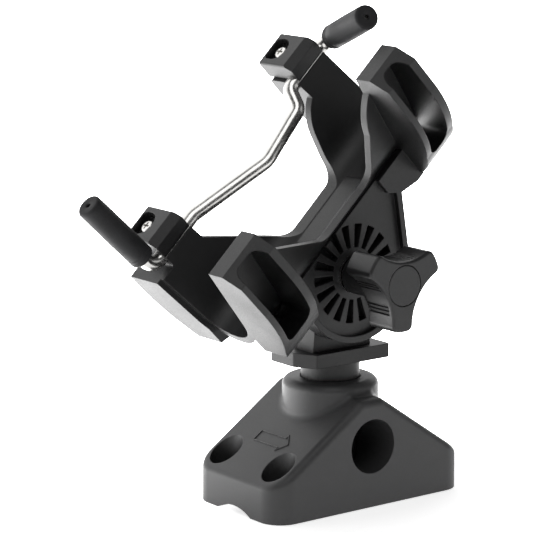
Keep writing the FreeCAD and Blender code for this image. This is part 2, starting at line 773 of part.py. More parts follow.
def make_cradle():
    """The one-piece cradle: trough, two near pads, two far arms, and the keel with its ribbed ring."""
    cradle = new_body("cradle", tilted=True)
    slab(cradle, "trough_core", "YZ_Plane", "cradle_back", "cradle_front", trough_section())
    bevel = ("(pad_out - trough_half_top - pad_strip)", "pad_chamfer")
    near_spans = (("cradle_back", "(cradle_back + back_pad_length)"),
                  ("(cradle_front - front_pad_length)", "cradle_front"))
    far_spans = (("(cradle_back - arm_overhang)", "back_arm_end"),
                 ("front_arm_start", "(cradle_front + arm_front_overhang)"))
    for place, (low, high) in zip(("back", "front"), near_spans):
        slab(cradle, place + "_pad", "YZ_Plane", low, high,
             pad_section("-", "pad_top", "pad_out", bevel))
    for place, (low, high) in zip(("back", "front"), far_spans):
        slab(cradle, place + "_arm", "YZ_Plane", low, high,
             pad_section("", "arm_top", "arm_out", ("arm_edge", "arm_edge")))
    back_end = "cradle_back - arm_overhang - 1"
    front_end = "cradle_front + arm_front_overhang + 2"
    back_trim = ((back_end, "-1"), ("cradle_back + back_pad_length", "-1"),
                 ("cradle_back + back_pad_length", "back_trim_low"), (back_end, "back_trim_high"))
    front_trim = (("front_arm_start - 3", "-1"), (front_end, "-1"), (front_end, "front_trim_high"),
                  ("front_arm_start - 3", "front_trim_low"))
    for place, points in (("back", back_trim), ("front", front_trim)):
        slab(cradle, place + "_underside", "XZ_Plane", "-pad_out - 5", "pad_out + 5",
             outline(*points), cut=True)

    for place, (low, high) in zip(("back", "front"), near_spans):
        pad_slot(cradle, place + "_pad_slot", "-", f"{low} + pad_wall", f"{high} - pad_rim",
                 "pad_top - slot_top", place + "_slot_floor")
    for place, (low, high) in zip(("back", "front"), far_spans):
        pad_slot(cradle, place + "_arm_slot", "", f"{low} + pad_rim", f"{high} - pad_rim",
                 "arm_top - arm_slot_top", "back_slot_floor")
    slab(cradle, "trough", "YZ_Plane", "cradle_back", "cradle_front", trough_section())

    keel_back = "-(keel_face - keel_thickness)"
    keel_rim_face = "-(keel_face + rim_height)"
    slab(cradle, "keel", "XZ_Plane", keel_rim_face, keel_back, keel_outline("0", "keel_top"))
    slab(cradle, "keel_field", "XZ_Plane", f"{keel_rim_face} - 1", "-keel_face",
         keel_outline("rim_width", "keel_top + 1"), cut=True)
    slab(cradle, "front_web", "XZ_Plane", keel_rim_face, keel_back,
         outline(("web_start", "keel_top"), ("web_start", "web_start_height"),
                 ("keel_front_side", "keel_front_height"), ("web_heel_side", "web_heel_height"),
                 ("front_arm_start + 1", "web_heel_height"), ("front_arm_start + 1", "keel_top")))

    slab(cradle, "near_notch", "XZ_Plane", "-pad_out - 5", "0",
         notch_outline("near", "(cradle_back + back_pad_length)", "(cradle_front - front_pad_length)"),
         cut=True)
    slab(cradle, "far_notch", "XZ_Plane", "0", "arm_out + 5",
         notch_outline("far", "back_arm_end", "front_arm_start"), cut=True)
    panel_top = f"({TROUGH_CENTRE} - trough_radius + panel_thickness)"
    slab(cradle, "panel", "XY_Plane", f"{panel_top} - panel_thickness * 2", panel_top,
         rounded_box("panel_start", "panel_start + panel_length", "-panel_half_width",
                     "panel_half_width", "panel_corner"))

    slab(cradle, "wire_groove", "YZ_Plane", "cradle_back - 5", "cradle_front + 5",
         circles(("wire_side", "arm_top", "wire_radius + wire_fit")), cut=True)
    slab(cradle, "elbow_ledge", "XZ_Plane", "0", "arm_out + 1",
         outline(("cradle_back - 5", "arm_top - wire_radius - ledge_drop"),
                 ("back_block_start - ledge_drop", "arm_top - wire_radius - ledge_drop"),
                 ("back_block_start", "arm_top - wire_radius", "ledge_drop", 1),
                 ("back_block_start", "arm_top + 2"), ("cradle_back - 5", "arm_top + 2")), cut=True)
    for place in ("back", "front"):
        middle = f"({place}_block_start + cap_block_length / 2)"
        slab(cradle, place + "_insert_bore", "XY_Plane", "arm_top - insert_length", "arm_top + 1",
             circles((middle, "screw_side", "insert_radius")), cut=True)

    half = "(ring_pocket_angle / 2)"
    pocket = slab(cradle, "ring_pocket", "XZ_Plane", "-keel_face - 1", "-keel_face + ring_pocket_depth",
                  outline((f"ring_inner * cos({half})", f"-ring_inner * sin({half})"),
                          (f"ring_outer * cos({half})", f"-ring_outer * sin({half})"),
                          (f"ring_outer * cos({half})", f"ring_outer * sin({half})", "ring_outer", 1),
                          (f"ring_inner * cos({half})", f"ring_inner * sin({half})")), cut=True)
    polar_copies(cradle, pocket, "ring_pockets")
    slab(cradle, "pivot_bore", "XZ_Plane", "-keel_face - 1", f"{keel_back} + 1",
         circles(("0", "0", "bolt_radius + bolt_fit")), cut=True)


# ---------------------------------------------------------------- bail

def make_bail_cap(place):
    """One block that holds the bail down on its arm, with its screw and the arm's threaded insert."""
    start = f"{place}_block_start"
    middle = f"({start} + cap_block_length / 2)"
    top = "(arm_top + cap_block_height)"
    bottom = "(arm_top + face_gap)"
    cap = new_body(place + "_bail_cap", tilted=True)
    slab(cap, "block", "YZ_Plane", start, f"{start} + cap_block_length",
         outline(("cap_block_near", bottom), ("cap_block_far", bottom), ("cap_block_far", top),
                 ("cap_block_near + cap_block_chamfer_y", top),
                 ("cap_block_near", f"{top} - cap_block_chamfer_z")))
    dress(cap, "Fillet", "block_corners", "cap_block_round",
          lambda edge: edge.BoundBox.XLength < 0.01 and edge.Length > 3 and edge.BoundBox.ZMin > 0
          and abs(edge.tangentAt(edge.FirstParameter).z) < 0.1)
    floor = f"({top} - screw_well_depth)"
    well = "screw_well"
    far = "(cap_block_far - well_wall)"
    slab(cap, "screw_well_cut", "XY_Plane", floor, f"{top} + 1",
         outline((f"{middle} + {well}", f"{far} - screw_well_corner"),
                 (f"{middle} + {well} - screw_well_corner", far, "screw_well_corner", 1),
                 (f"{middle} - {well} + screw_well_corner", far),
                 (f"{middle} - {well}", f"{far} - screw_well_corner", "screw_well_corner", 1),
                 (f"{middle} - {well}", "screw_side"), (middle, f"screw_side - {well}", well, 1),
                 (f"{middle} + {well}", "screw_side", well, 1)), cut=True)
    slab(cap, "screw_hole", "XY_Plane", f"{bottom} - 1", f"{floor} + 1",
         circles((middle, "screw_side", "screw_shank_radius + 0.2")), cut=True)
    slab(cap, "wire_groove", "YZ_Plane", f"{start} - 1", f"{start} + cap_block_length + 1",
         circles(("wire_side", "arm_top", "wire_radius + wire_fit")), cut=True)

    screw = new_body(place + "_cap_screw", tilted=True)
    head_top = f"({floor} + screw_head_height)"
    slab(screw, "head", "XY_Plane", f"{floor} + face_gap", head_top,
         circles((middle, "screw_side", "screw_head_radius")))
    dress(screw, "Fillet", "head_round", "screw_head_round", lambda edge: edge.BoundBox.ZLength < 0.01
          and edge.BoundBox.ZMin > number(head_top) - 0.05)
    slab(screw, "shank", "XY_Plane", f"{floor} - screw_length + face_gap", f"{floor} + 0.5",
         circles((middle, "screw_side", "screw_shank_radius")))
    slab(screw, "cross", "XY_Plane", f"{head_top} - screw_recess_depth", f"{head_top} + 1",
         cross(middle), cut=True)

    insert = new_body(place + "_cap_insert", tilted=True)
    slab(insert, "insert", "XY_Plane", "arm_top - insert_length + face_gap", "arm_top - face_gap",
         circles((middle, "screw_side", "insert_radius - 0.02"),
                 (middle, "screw_side", "screw_shank_radius + 0.05")))


def cross(middle):
    """A drawing of the driver recess in a screw head."""
    wide = number("screw_recess_half")
    long = number("screw_recess_reach")
    corners = [(wide, wide), (wide, long), (-wide, long), (-wide, wide), (-long, wide), (-long, -wide),
               (-wide, -wide), (-wide, -long), (wide, -long), (wide, -wide), (long, -wide), (long, wide)]
    return outline(*[(f"{middle} + {x}", f"screw_side + {y}") for x, y in corners])


def bail_points():
    """The corners of the bail's centreline and the bend radius at each."""
    angle = math.radians(number("bow_angle"))
    bow = Vector(0, -math.cos(angle), -math.sin(angle))
    axis = Vector(0, number("wire_side"), number("arm_top"))
    ends = {"back": number("back_block_start - bail_bend - elbow_gap"),
            "front": number("front_block_start + cap_block_length + bail_bend + elbow_gap")}
    tips = {}
    for place, lift in (("back", 90), ("front", number("upper_grip_angle"))):
        lean = math.radians(number("grip_lean")) * (1 if place == "front" else -1)
        rise = math.radians(lift)
        across = Vector(0, -math.cos(rise), math.sin(rise))
        tips[place] = Vector(1, 0, 0) * math.sin(lean) + across * math.cos(lean)
    depth = number("bow_depth")
    inside = number("back_block_start + cap_block_length")
    outside = number("front_block_start")
    bend = number("bail_bend")
    arm = number("grip_arm_length")

    def on_axis(x, out=0.0):
        return axis + Vector(x, 0, 0) + bow * out

    points = [(on_axis(ends["back"]) + tips["back"] * arm, 0), (on_axis(ends["back"]), bend),
              (on_axis(inside + number("bow_back_reach")), number("bow_back_bend")),
              (on_axis(inside + number("bow_back_reach + bow_back_length"), depth), number("bow_bend")),
              (on_axis(outside - number("bow_front_length"), depth * number("bow_front_share")), bend),
              (on_axis(outside - number("bow_front_reach")), bend),
              (on_axis(ends["front"]), bend), (on_axis(ends["front"]) + tips["front"] * arm, 0)]
    return points, tips, {place: on_axis(x) for place, x in ends.items()}


def bent_path(points):
    """Straight runs joined by tangent arcs."""
    edges = []
    last = points[0][0]
    for index in range(1, len(points) - 1):
        corner, radius = points[index]
        back = (points[index - 1][0] - corner).normalize()
        ahead = (points[index + 1][0] - corner).normalize()
        half = back.getAngle(ahead) / 2
        reach = radius / math.tan(half)
        centre = corner + (back + ahead).normalize() * (radius / math.sin(half))
        start = corner + back * reach
        finish = corner + ahead * reach
        middle = centre + (corner - centre).normalize() * radius
        edges.append(Part.LineSegment(last, start).toShape())
        edges.append(Part.Arc(start, middle, finish).toShape())
        last = finish
    edges.append(Part.LineSegment(last, points[-1][0]).toShape())
    return Part.Wire(edges)


def make_bail():
    """The bail: one bent stainless rod through both caps, with a rubber grip on each end."""
    points, tips, elbows = bail_points()
    path = bent_path(points)
    start = points[0][0]
    circle = Part.Circle(start, start - points[1][0], number("wire_radius"))
    profile = Part.Wire([circle.toShape()])
    tube = path.makePipeShell([profile], True, False)
    ideal = math.pi * number("wire_radius") ** 2 * path.Length
    if abs(tube.Volume / ideal - 1) > 0.01:
        raise RuntimeError("the bail's volume doesn't match its length")
    rod = doc.addObject("Part::Feature", "bail_rod")
    rod.Label = "bail_rod"
    rod.Shape = tube
    seat_in_cradle(rod)
    parts["bail_rod"] = rod

    for place in ("back", "front"):
        grip = new_body(place + "_grip")
        hole = "(wire_radius + 0.02)"
        end = "(grip_start + grip_length)"
        rod_end = "(grip_arm_length + 0.1)"
        revolve(grip, "sleeve", "XZ_Plane",
                [(hole, "grip_start"), ("grip_radius - grip_edge", "grip_start"),
                 ("grip_radius", "grip_start + grip_edge", "grip_edge", 1),
                 ("grip_radius", f"{end} - grip_edge"), ("grip_radius - grip_edge", end, "grip_edge", 1),
                 ("grip_hole", end), ("grip_hole", rod_end),
                 (hole, rod_end)])
        turn = Rotation(Vector(0, 0, 1), tips[place])
        tilt = Placement(Vector(0, 0, number("pivot_height")),
                         Rotation(Vector(0, -1, 0), number("rest_tilt")))
        grip.Placement = tilt.multiply(Placement(elbows[place], turn))


# ---------------------------------------------------------------- the whole holder

make_base()
make_post()
make_post_ring()
make_pivot_hardware()
make_knob()
make_cradle()
for end_name in ("back", "front"):
    make_bail_cap(end_name)
make_bail()
doc.recompute()

for item in doc.Objects:
    if "Invalid" in item.State or "Error" in item.State:
        raise RuntimeError(f"{item.Name} failed: {item.State}")
for feature in cuts:
    removed = feature.BaseFeature.Shape.Volume - feature.Shape.Volume
    if removed <= 0:
        raise RuntimeError(f"{feature.Name} cuts nothing")
for name, part in parts.items():
    shape = part.Shape
    if shape.isNull() or not shape.isValid() or len(shape.Solids) != 1:
        raise RuntimeError(f"{name} is not one valid solid: {len(shape.Solids)}")

os.makedirs("parts", exist_ok=True)
for name, part in parts.items():
    part.Shape.exportStep(f"parts/{name}.step")
    print(f"{name:18s} {part.Shape.Volume / 1000:8.2f} cm3")
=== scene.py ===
import bmesh
import bpy
import math
from bpy.props import FloatProperty, FloatVectorProperty, PointerProperty
from mathutils import Matrix, Vector


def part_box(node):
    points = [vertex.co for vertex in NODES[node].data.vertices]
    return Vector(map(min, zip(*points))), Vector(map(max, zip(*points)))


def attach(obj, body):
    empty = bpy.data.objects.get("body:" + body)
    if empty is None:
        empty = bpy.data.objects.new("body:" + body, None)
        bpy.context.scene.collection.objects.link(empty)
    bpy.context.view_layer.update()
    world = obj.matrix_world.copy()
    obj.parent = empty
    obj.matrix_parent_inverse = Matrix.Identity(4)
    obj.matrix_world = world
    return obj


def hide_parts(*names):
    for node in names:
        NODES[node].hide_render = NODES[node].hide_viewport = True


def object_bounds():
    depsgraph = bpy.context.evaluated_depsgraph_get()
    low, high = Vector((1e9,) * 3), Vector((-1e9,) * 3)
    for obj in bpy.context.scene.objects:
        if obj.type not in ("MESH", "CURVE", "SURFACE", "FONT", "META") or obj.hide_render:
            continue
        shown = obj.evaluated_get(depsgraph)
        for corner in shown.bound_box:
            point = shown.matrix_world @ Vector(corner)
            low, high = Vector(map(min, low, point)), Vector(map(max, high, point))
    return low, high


bl_info = {
    "name": "Rod Holder Finish",
    "version": (1, 0, 0),
    "blender": (4, 5, 0),
    "location": "3D View > Sidebar > Rod Holder",
    "description": "Finishes the deck-mounted rod holder in nylon, steel and rubber, on a studio floor",
    "category": "Object",
}

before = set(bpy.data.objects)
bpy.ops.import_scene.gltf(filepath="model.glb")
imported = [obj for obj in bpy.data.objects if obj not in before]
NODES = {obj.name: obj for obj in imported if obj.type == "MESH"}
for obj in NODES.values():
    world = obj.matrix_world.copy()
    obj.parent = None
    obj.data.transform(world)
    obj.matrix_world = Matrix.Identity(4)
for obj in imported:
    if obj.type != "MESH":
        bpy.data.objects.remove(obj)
CAD_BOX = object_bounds()

# Steps round a sleeve and round the post ring, and along a sleeve's side.
SLEEVE_STEPS = 72
RING_STEPS = 96
SIDE_STEPS = 9

# The post ring's round section: start and end in degrees, and steps.
RING_ARC = (-180, 160, 17)

# The grips, as shares of their outer radius or length.
WIRE_SHARE = 0.61
VENT_SHARE = 0.19
DOME_SHARE = 0.24
BORE_SHARE = 0.94

# The grips, in metres.
MOUTH_SETBACK = 0.0003
MOUTH_INNER = 0.0006
MOUTH_OUTER = 0.0011
BAND_START = 0.0026
BAND_PITCH = 0.0016
BAND_HALF = 0.0005
BAND_FLOOR_HALF = 0.0002
SIDE_START = 0.007
SIDE_END_GAP = 0.009
SIDE_SWELL = 0.00008
VENT_CHAMFER = 0.0005
VENT_LIP = 0.0001
VENT_LIP_DEPTH = 0.0002
VENT_FLOOR_DEPTH = 0.0007

# The raised line's section: places across its width, and levels as shares of its height.
LINE_SECTION = ((-0.5, -0.6), (-0.3, 1.0), (0.3, 1.0), (0.5, -0.6))
LINE_SHARPEST = 0.4
BARB_SHARE = 1.6
BARB_LENGTH = 0.9

# The camera: its sensor's width in millimetres, and its nearest distance in metres.
CAMERA_SENSOR = 36.0
CAMERA_NEAR = 0.01

# The floor and the lights, in metres: each light's place is from the camera's target.
FLOOR_HALF = 4.0
FLOOR_CELLS = 12
FLOOR_GAP = 0.0002
KEY_PLACE, KEY_SIZE = (0.75, -1.0, 0.35), 0.8
RIM_PLACE, RIM_SIZE = (-1.25, 0.25, 0.12), 0.7
TOP_PLACE, TOP_SIZE = (-0.42, -0.6, 1.0), 0.8


# ---------------------------------------------------------------- settings

def colour_setting(name, description, default):
    """A colour that the user can change."""
    return FloatVectorProperty(name=name, description=description, default=default,
                               size=3, min=0.0, max=1.0, subtype="COLOR")


def length_setting(name, description, default):
    """A length in metres that the user can change."""
    return FloatProperty(name=name, description=description, default=default, min=0.0,
                         unit="LENGTH", subtype="DISTANCE", precision=5)


def plain_setting(name, description, default, low=0.0, high=10.0):
    """A plain number that the user can change."""
    return FloatProperty(name=name, description=description, default=default, min=low, max=high)


def angle_setting(name, description, degrees):
    """An angle that the user can change."""
    return FloatProperty(name=name, description=description, default=math.radians(degrees),
                         unit="ROTATION", subtype="ANGLE")


class HolderFinish(bpy.types.PropertyGroup):
    """Colours and surface sizes of the holder."""
    base_tone: colour_setting("Base tone", "Colour of the base's moulded nylon", (0.034, 0.034, 0.035))
    cradle_tone: colour_setting("Cradle tone", "Colour of the cradle's moulded nylon",
                                (0.0060, 0.0060, 0.0064))
    post_tone: colour_setting("Post tone", "Colour of the post's moulded nylon", (0.0045, 0.0045, 0.0049))
    knob_tone: colour_setting("Knob tone", "Colour of the clamp knob", (0.0095, 0.0095, 0.0100))
    rubber_tone: colour_setting("Rubber tone", "Colour of the grips", (0.017, 0.017, 0.018))
    steel_tone: colour_setting("Steel tone", "Colour of the stainless wire and screws", (0.74, 0.73, 0.71))
    bolt_tone: colour_setting("Bolt tone", "Colour of the stainless pivot pieces", (0.30, 0.30, 0.30))
    brass_tone: colour_setting("Brass tone", "Colour of the threaded inserts", (0.70, 0.50, 0.24))
    disc_tone: colour_setting("Slip disc tone", "Colour of the slip disc", (0.48, 0.47, 0.44))
    texture_size: length_setting("Texture size", "Size of the mould texture's grains", 0.00045)
    texture_depth: length_setting("Texture depth", "Height of the mould texture", 0.000035)
    # The paler edge band is partly wear and partly a painted highlight.
    edge_size: length_setting("Edge size", "Width of the softened, worn edges", 0.00055)
    edge_wear_and_highlight: plain_setting("Edge wear", "How much lighter the worn edges are", 0.35, 0.0, 1.0)


class HolderTrim(bpy.types.PropertyGroup):
    """Sizes of the small moulded and rubber details."""
    grip_bands: plain_setting("Grip bands", "Number of shallow rings in a grip", 2.0, 0.0, 8.0)
    band_depth: length_setting("Band depth", "Depth of a ring in a grip", 0.00012)
    arrow_length: length_setting("Arrow length", "Length of the raised arrow on the base", 0.0200)
    arrow_width: length_setting("Arrow width", "Width of the raised arrow on the base", 0.0054)
    arrow_line: length_setting("Arrow line", "Width of the arrow's raised line", 0.00055)
    arrow_height: length_setting("Arrow height", "How far the arrow's line stands up", 0.00035)
    arrow_place: plain_setting("Arrow place", "How far up the slope the arrow is", 0.427, 0.0, 1.0)
    arrow_side: FloatProperty(name="Arrow side", description="The arrow's place across the slope",
                              default=-0.0015, unit="LENGTH", precision=5)
    slope_foot: length_setting("Slope foot", "Height of the base's end wall", 0.0148)
    ridge_height: length_setting("Ridge height", "Height of the base's ridge", 0.045)
    ridge_half: length_setting("Ridge half", "Half the width of the base's flat ridge", 0.0055)


class HolderStage(bpy.types.PropertyGroup):
    """The studio, the lights and the camera."""
    azimuth: angle_setting("Azimuth", "The camera's turn about the upright axis", -37.4)
    elevation: angle_setting("Elevation", "The camera's height above the horizon", 11.16)
    distance: length_setting("Distance", "From the camera to its target", 1.04119)
    lens: plain_setting("Lens", "Focal length in millimetres on a 36 mm sensor", 174.43, 10.0, 500.0)
    target: FloatVectorProperty(name="Target", description="The point that the camera looks at",
                                default=(-0.03324, 0.0, 0.09998), size=3, subtype="TRANSLATION")
    floor_tone: colour_setting("Floor tone", "Colour of the floor", (0.93, 0.93, 0.93))
    floor_glow: plain_setting("Floor glow", "Strength of the light from the floor behind the holder", 4.6)
    floor_near: plain_setting("Near floor glow", "Strength of the light from the floor in front", 0.72)
    floor_start: plain_setting("Floor fade start", "How far back the floor starts to brighten",
                               0.0, -4.0, 4.0)
    floor_end: plain_setting("Floor fade end", "How far back the floor is fully bright", 0.1, -4.0, 4.0)
    sweep_start: plain_setting("Sweep start", "How far back the room starts to brighten", 0.0, -1.0, 1.0)
    sweep_end: plain_setting("Sweep end", "How far back the room is fully bright", 0.6, -1.0, 1.0)
    back_light: plain_setting("Back light", "Strength of the white sweep behind the holder", 1.5)
    front_light: plain_setting("Front light", "Strength of the dim room in front of the holder", 0.09)
    key_light: plain_setting("Key light", "Power of the soft light on the knob side, in watts",
                             1.0, 0.0, 200.0)
    rim_light: plain_setting("Rim light", "Power of the light low on the left, in watts", 1.2, 0.0, 200.0)
    top_light: plain_setting("Top light", "Power of the overhead light, in watts", 3.2, 0.0, 200.0)


# ---------------------------------------------------------------- node trees

class Surface:
    """A material that is built node by node."""

    def __init__(self, name):
        self.material = bpy.data.materials.new(name)
        self.material.use_nodes = True
        self.nodes = self.material.node_tree.nodes
        self.links = self.material.node_tree.links
        self.shader = self.nodes["Principled BSDF"]
        self.place = self.add("ShaderNodeTexCoord").outputs["Object"]

    def add(self, kind, settings=None, **values):
        """A node with its settings and its socket values or links."""
        made = self.nodes.new(kind)
        for key, value in (settings or {}).items():
            setattr(made, key, value)
        for key, value in values.items():
            self.feed(made.inputs[key.replace("_", " ")], value)
        return made

    def feed(self, socket, value):
        """Put a value or a link in a socket."""
        if isinstance(value, bpy.types.NodeSocket):
            self.links.new(value, socket)
        else:
            socket.default_value = value

    def stretched(self, scale):
        """The object's coordinates, scaled by axis."""
        return self.add("ShaderNodeMapping", Vector=self.place, Scale=scale).outputs["Vector"]

    def noise(self, size, detail=3.0, roughness=0.55, place=None):
        """Noise with features of a size in metres."""
        made = self.add("ShaderNodeTexNoise", Vector=place or self.place, Scale=1.0 / size,
                        Detail=detail, Roughness=roughness)
        return made.outputs["Fac"]

    def spread(self, value, low, high, start=0.3, end=0.7):
        """Stretch a value from one range to another."""
        made = self.add("ShaderNodeMapRange")
        self.feed(made.inputs["Value"], value)
        for name, number in (("From Min", start), ("From Max", end), ("To Min", low), ("To Max", high)):
            made.inputs[name].default_value = number
        return made.outputs["Result"]

    def sum(self, first, second, kind="ADD"):
        """Two numbers added, or put together another way."""
        made = self.add("ShaderNodeMath", {"operation": kind})
        self.feed(made.inputs[0], first)
        self.feed(made.inputs[1], second)
        return made.outputs["Value"]

    def blend(self, amount, first, second):
        """The first colour, going over to the second by an amount."""
        made = self.add("ShaderNodeMix", {"data_type": "RGBA"})
        self.feed(made.inputs[0], amount)
        self.feed(made.inputs[6], first)
        self.feed(made.inputs[7], second)
        return made.outputs[2]

    def bump(self, height, depth, strength, under=None):
        """A bumped normal from a height, over another normal."""
        made = self.add("ShaderNodeBump", Height=height, Distance=depth, Strength=strength)
        if under is not None:
            self.links.new(under, made.inputs["Normal"])
        return made.outputs["Normal"]

    def rounded_edges(self, size):
        """A normal that is softened at edges, and how near a point is to an edge."""
        soft = self.add("ShaderNodeBevel", {"samples": 4}, Radius=size).outputs["Normal"]
        flat = self.add("ShaderNodeNewGeometry").outputs["Normal"]
        match = self.add("ShaderNodeVectorMath", {"operation": "DOT_PRODUCT"})
        self.links.new(soft, match.inputs[0])
        self.links.new(flat, match.inputs[1])
        return soft, self.spread(match.outputs["Value"], 1.0, 0.0, start=0.86, end=0.995)

    def finish(self, colour, roughness, normal, metal=0.0, specular=0.5):
        """Connect the shader."""
        self.feed(self.shader.inputs["Base Color"], colour)
        self.feed(self.shader.inputs["Roughness"], roughness)
        self.feed(self.shader.inputs["Normal"], normal)
        self.shader.inputs["Metallic"].default_value = metal
        self.shader.inputs["Specular IOR Level"].default_value = specular
        return self.material


def shade(tone, amount):
    """A colour made lighter or darker."""
    return tuple(min(1.0, part * amount) for part in tone) + (1.0,)


def moulded_nylon(name, tone, gloss=0.43):
    """Glass-filled nylon: pebbled mould texture, faint flow marks, and paler edges that are partly wear
    and partly a painted highlight.
    """
    finish = bpy.context.scene.holder_finish
    made = Surface(name)
    grain = made.noise(finish.texture_size, detail=2.0)
    cloud = made.noise(size=0.022, detail=4.0, roughness=0.6)
    flow = made.noise(size=0.012, roughness=0.5, place=made.stretched((1.0, 0.35, 2.2)))
    edge_normal, edge = made.rounded_edges(finish.edge_size)
    colour = made.blend(made.spread(cloud, 0.0, 1.0), shade(tone, 0.84), shade(tone, 1.14))
    colour = made.blend(made.spread(flow, 0.0, 0.35), colour, shade(tone, 1.25))
    colour = made.blend(made.spread(grain, 0.0, 0.3, start=0.55, end=0.75), colour, shade(tone, 1.6))
    # Edges made paler: partly wear, partly a painted highlight along the edges.
    worn_and_highlit = made.sum(made.sum(edge, finish.edge_wear_and_highlight, "MULTIPLY"), made.spread(cloud, 0.4, 1.0), "MULTIPLY")
    colour = made.blend(worn_and_highlit, colour, shade(tone, 3.0))
    rough = made.sum(made.spread(grain, gloss - 0.05, gloss + 0.07), made.spread(cloud, -0.03, 0.04))
    normal = made.bump(grain, finish.texture_depth, strength=0.7, under=edge_normal)
    normal = made.bump(flow, depth=0.00008, strength=0.35, under=normal)
    return made.finish(colour, rough, normal)


def drawn_steel(name, tone):
    """Stainless wire and hardware: fine draw lines, soft patches and a bright polish."""
    made = Surface(name)
    lines = made.noise(size=0.00035, detail=2.0, roughness=0.5, place=made.stretched((0.35, 1.0, 0.35)))
    patch = made.noise(size=0.006)
    scratch = made.noise(size=0.0009, detail=5.0, roughness=0.7, place=made.stretched((1.0, 4.0, 1.0)))
    colour = made.blend(made.spread(patch, 0.0, 1.0), shade(tone, 0.86), shade(tone, 1.08))
    colour = made.blend(made.spread(scratch, 0.0, 0.25, start=0.6, end=0.72), colour, shade(tone, 0.6))
    rough = made.sum(made.spread(lines, 0.16, 0.28), made.spread(patch, -0.02, 0.05))
    normal = made.bump(lines, depth=0.00001, strength=0.5)
    normal = made.bump(scratch, depth=0.000012, strength=0.3, under=normal)
    return made.finish(colour, rough, normal, metal=1.0)


def moulded_rubber(name, tone):
    """Grip rubber: dull, with a dry bloom, handling marks and a fine skin."""
    made = Surface(name)
    skin = made.noise(size=0.0006)
    bloom = made.noise(size=0.009, detail=5.0, roughness=0.65)
    colour = made.blend(made.spread(bloom, 0.0, 1.0, start=0.35), shade(tone, 0.75), shade(tone, 1.4))
    colour = made.blend(made.spread(skin, 0.0, 0.2), colour, shade(tone, 2.0))
    rough = made.sum(made.spread(bloom, 0.5, 0.66), made.spread(skin, -0.04, 0.04))
    normal = made.bump(skin, depth=0.00003, strength=0.6)
    normal = made.bump(bloom, depth=0.00015, strength=0.4, under=normal)
    return made.finish(colour, rough, normal, specular=0.2)


def turned_brass(name, tone):
    """Insert brass: turning lines and a slight tarnish."""
    made = Surface(name)
    lines = made.noise(size=0.0003, detail=2.0, roughness=0.5, place=made.stretched((1.0, 1.0, 0.2)))
    tarnish = made.noise(size=0.002, detail=4.0)
    colour = made.blend(made.spread(tarnish, 0.0, 1.0), shade(tone, 0.6), shade(tone, 1.1))
    normal = made.bump(lines, depth=0.00002, strength=0.6)
    return made.finish(colour, made.spread(tarnish, 0.25, 0.45), normal, metal=1.0)


def plain_polymer(name, tone):
    """Slip disc polymer: waxy, with rub marks."""
    made = Surface(name)
    rub = made.noise(size=0.0015, detail=4.0, roughness=0.6, place=made.stretched((1.0, 1.0, 3.0)))
    colour = made.blend(made.spread(rub, 0.0, 1.0), shade(tone, 0.8), shade(tone, 1.1))
    return made.finish(colour, made.spread(rub, 0.35, 0.5), made.bump(rub, depth=0.00003, strength=0.5))


def coat(obj, material):
    """Give an object one material all over."""
    if not obj.material_slots:
        obj.data.materials.append(material)
    for place in obj.material_slots:
        place.material = material


# ---------------------------------------------------------------- meshes

def add_piece(name, mesh, material, body):
    """A finished piece in the scene, riding on its body."""
    piece = bpy.data.objects.new(name, mesh)
    bpy.context.scene.collection.objects.link(piece)
    coat(piece, material)
    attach(piece, body)
    return piece


def lathe(name, profile, place, steps):
    """Turn a closed outline of (radius, height) points about an axis."""
    shape = bmesh.new()
    rings = []
    for turn in range(steps):
        angle = math.tau * turn / steps
        rings.append([shape.verts.new(place @ Vector((r * math.cos(angle), r * math.sin(angle), z)))
                      for r, z in profile])
    count = len(profile)
    for turn in range(steps):
        here = rings[turn]
        there = rings[(turn + 1) % steps]
        for index in range(count):
            following = (index + 1) % count
            face = shape.faces.new((here[index], there[index], there[following], here[following]))
            face.smooth = True
    bmesh.ops.recalc_face_normals(shape, faces=shape.faces)
    mesh = bpy.data.meshes.new(name)
    shape.to_mesh(mesh)
    shape.free()
    return mesh


def raised_line(name, corners, width, height, place):
    """A closed raised line with sloping sides along an outline of (x, y) corners."""
    count = len(corners)
    points = [Vector((x, y)) for x, y in corners]
    shape = bmesh.new()
    rings = []
    for index in range(count):
        before = (points[index] - points[index - 1]).normalized()
        after = (points[(index + 1) % count] - points[index]).normalized()
        miter = Vector((-(before + after).y, (before + after).x)).normalized()
        reach = 1.0 / max(LINE_SHARPEST, miter.dot(Vector((-after.y, after.x))))
        ring = []
        for side, level in LINE_SECTION:
            spot = points[index] + miter * (side * width * reach)
            ring.append(shape.verts.new(place @ Vector((spot.x, spot.y, level * height))))
        rings.append(ring)
    for index in range(count):
        here = rings[index]
        there = rings[(index + 1) % count]
        for corner in range(len(LINE_SECTION)):
            following = (corner + 1) % len(LINE_SECTION)
            shape.faces.new((here[corner], there[corner], there[following], here[following]))
    bmesh.ops.recalc_face_normals(shape, faces=shape.faces)
    mesh = bpy.data.meshes.new(name)
    shape.to_mesh(mesh)
    shape.free()
    return mesh


def arc(centre_r, centre_z, radius, start, end, steps):
    """Points on an arc in a lathe's outline, with its angles in degrees."""
    points = []
    for step in range(steps + 1):
        angle = math.radians(start + (end - start) * step / steps)
        points.append((centre_r + radius * math.cos(angle), centre_z + radius * math.sin(angle)))
    return points


def long_axis(node):
    """The axis of a long round CAD node: its two end centres."""
    points = [vertex.co.copy() for vertex in NODES[node].data.vertices]
    low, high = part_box(node)
    middle = (low + high) / 2
    first = max(points, key=lambda point: (point - middle).length)
    second = max(points, key=lambda point: (point - first).length)
    rough = (second - first).normalized()
    for _ in range(8):
        ahead = [point for point in points if (point - middle).dot(rough) > 0]
        behind = [point for point in points if (point - middle).dot(rough) <= 0]
        rough = (sum(ahead, Vector()) / len(ahead) - sum(behind, Vector()) / len(behind)).normalized()
    heights = [point.dot(rough) for point in points]
    spot = sum((point - rough * point.dot(rough) for point in points), Vector()) / len(points)
    return spot + rough * min(heights), spot + rough * max(heights)


# ---------------------------------------------------------------- operators

